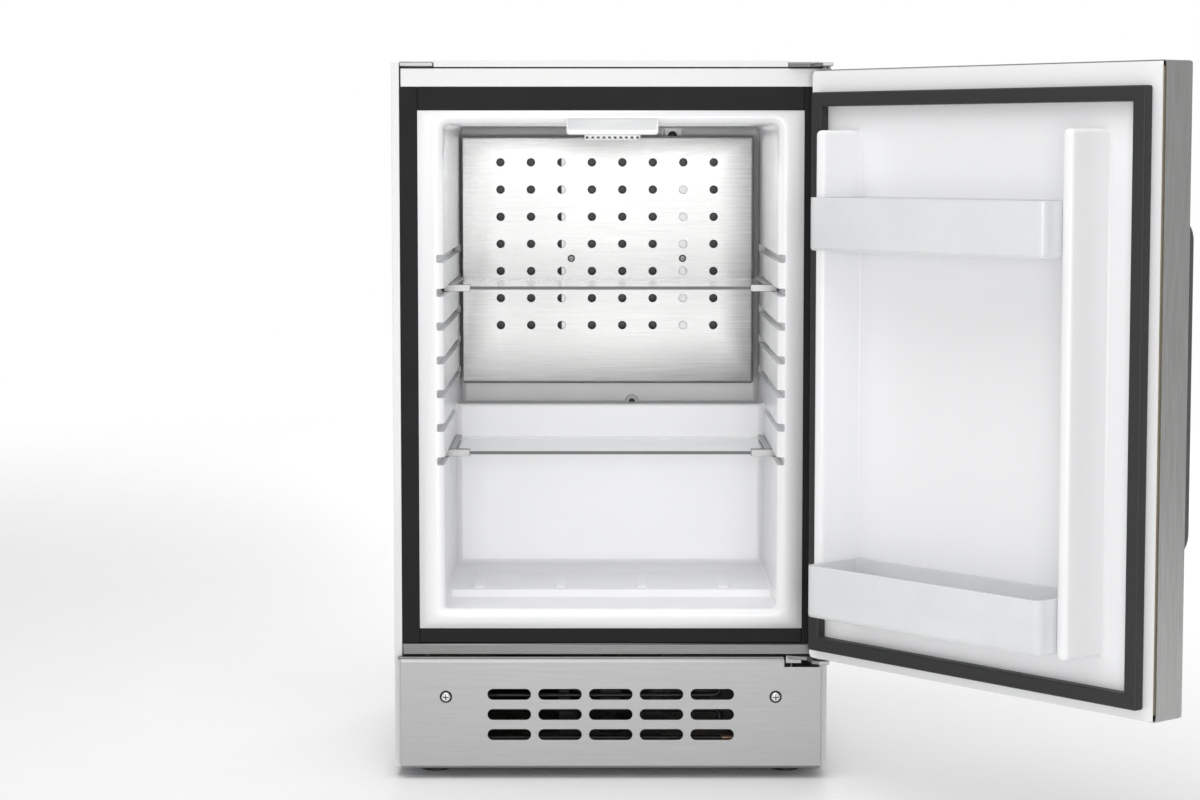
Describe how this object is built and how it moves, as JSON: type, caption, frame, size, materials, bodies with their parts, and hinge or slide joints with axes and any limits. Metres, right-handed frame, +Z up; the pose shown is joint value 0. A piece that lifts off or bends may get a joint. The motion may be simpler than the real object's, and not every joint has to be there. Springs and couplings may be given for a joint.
{
  "type": "mini fridge",
  "caption": "Undercounter mini fridge with a right-hinged open door, glass shelves in runner grooves, a perforated evaporator cover and a vented kick plate.",
  "frame": {"origin": "middle of the base pan's underside, between the four feet, which reach 12 mm below it", "axes": "+Z up; the front and the cavity face -Y; the door is hinged on the +X side"},
  "size_m": [0.8474, 0.9011, 0.825],
  "materials": {
    "white_steel": "smooth white powder coat",
    "grey_steel": "galvanized sheet",
    "black_steel": "black enamel",
    "stainless": "horizontally brushed stainless steel",
    "hinge_steel": "zinc plated",
    "liner_white": "smooth vacuum-formed polystyrene",
    "black_plastic": "satin black",
    "grey_plastic": "fine-textured light grey",
    "diffuser": "translucent white",
    "bin_clear": "glossy white",
    "foam": "rigid polyurethane foam",
    "glass": "clear tempered glass",
    "aluminium": "roll-bonded plate",
    "copper": "bare copper",
    "gasket": "soft dark grey"
  },
  "bodies": {
    "cabinet": {"side_panel_left": "white_steel", "side_panel_right": "white_steel", "top_panel": "white_steel", "front_top_rail": "white_steel", "rear_panel": "grey_steel", "machine_cover": "grey_steel", "base_pan": "grey_steel", "foam_insulation": "foam", "inner_liner": "liner_white", "evaporator_bracket_left": "liner_white", "evaporator_bracket_right": "liner_white", "breaker_strip_left": "black_plastic", "breaker_strip_right": "black_plastic", "breaker_strip_top": "black_plastic", "breaker_strip_bottom": "black_plastic", "front_bottom_rail": "stainless", "kick_plate": "stainless", "kick_screw_left": "stainless", "kick_screw_right": "stainless", "evaporator_cover": "stainless", "cover_screw_left": "stainless", "cover_screw_right": "stainless", "evaporator": "aluminium", "drain_bushing": "grey_plastic", "control_housing": "grey_plastic", "evaporation_pan": "black_plastic", "fan_shroud": "black_plastic", "cord_inlet": "black_plastic", "compressor": "black_steel", "condenser_coil": "black_steel", "fan_motor": "black_steel", "filter_drier": "copper", "discharge_pipe": "copper", "suction_pipe": "copper", "lamp_cover": "diffuser", "lamp": "diffuser", "hinge_bracket_top": "hinge_steel", "hinge_bracket_bottom": "hinge_steel", "spare_hinge_cover": "hinge_steel"},
    "door": {"door_outer_panel": "stainless", "door_foam": "foam", "door_liner": "liner_white", "door_gasket": "gasket", "door_handle": "stainless", "hinge_bush_top": "grey_plastic", "hinge_bush_bottom": "grey_plastic"},
    "bin_upper": {"door_bin_upper": "bin_clear"},
    "bin_lower": {"door_bin_lower": "bin_clear"},
    "shelf_upper": {"shelf_upper_glass": "glass", "shelf_upper_rail_left": "grey_plastic", "shelf_upper_rail_right": "grey_plastic"},
    "shelf_lower": {"shelf_lower_glass": "glass", "shelf_lower_rail_left": "grey_plastic", "shelf_lower_rail_right": "grey_plastic"},
    "knob": {"thermostat_knob": "liner_white"},
    "fan": {"fan_blade": "black_plastic"},
    "foot_front_left": {"levelling_foot_front_left": "black_plastic"},
    "foot_front_right": {"levelling_foot_front_right": "black_plastic"},
    "foot_rear_left": {"levelling_foot_rear_left": "black_plastic"},
    "foot_rear_right": {"levelling_foot_rear_right": "black_plastic"}
  },
  "joints": [
    {"name": "door_hinge", "type": "hinge", "parent": "cabinet", "child": "door", "pos_m": [0.242, -0.268, 0.45], "axis": [0, 0, 1], "range_deg": [-130, 0]},
    {"name": "bin_upper_lift", "type": "slide", "parent": "door", "child": "bin_upper", "axis": [0, 0, 1], "range_m": [0, 0.03]},
    {"name": "bin_lower_lift", "type": "slide", "parent": "door", "child": "bin_lower", "axis": [0, 0, 1], "range_m": [0, 0.03]},
    {"name": "shelf_upper_slide", "type": "slide", "parent": "cabinet", "child": "shelf_upper", "axis": [0, -1, 0], "range_m": [0, 0.24]},
    {"name": "shelf_lower_slide", "type": "slide", "parent": "cabinet", "child": "shelf_lower", "axis": [0, -1, 0], "range_m": [0, 0.2]},
    {"name": "thermostat_turn", "type": "hinge", "parent": "cabinet", "child": "knob", "pos_m": [0.0017, -0.144, 0.725], "axis": [0, 0, 1], "range_deg": [0, 270]},
    {"name": "fan_spin", "type": "hinge", "parent": "cabinet", "child": "fan", "pos_m": [0, -0.11, 0.062], "axis": [0, -1, 0], "continuous": true},
    {"name": "foot_front_left_travel", "type": "slide", "parent": "cabinet", "child": "foot_front_left", "axis": [0, 0, -1], "range_m": [0, 0.012]},
    {"name": "foot_front_right_travel", "type": "slide", "parent": "cabinet", "child": "foot_front_right", "axis": [0, 0, -1], "range_m": [0, 0.012]},
    {"name": "foot_rear_left_travel", "type": "slide", "parent": "cabinet", "child": "foot_rear_left", "axis": [0, 0, -1], "range_m": [0, 0.012]},
    {"name": "foot_rear_right_travel", "type": "slide", "parent": "cabinet", "child": "foot_rear_right", "axis": [0, 0, -1], "range_m": [0, 0.012]}
  ]
}
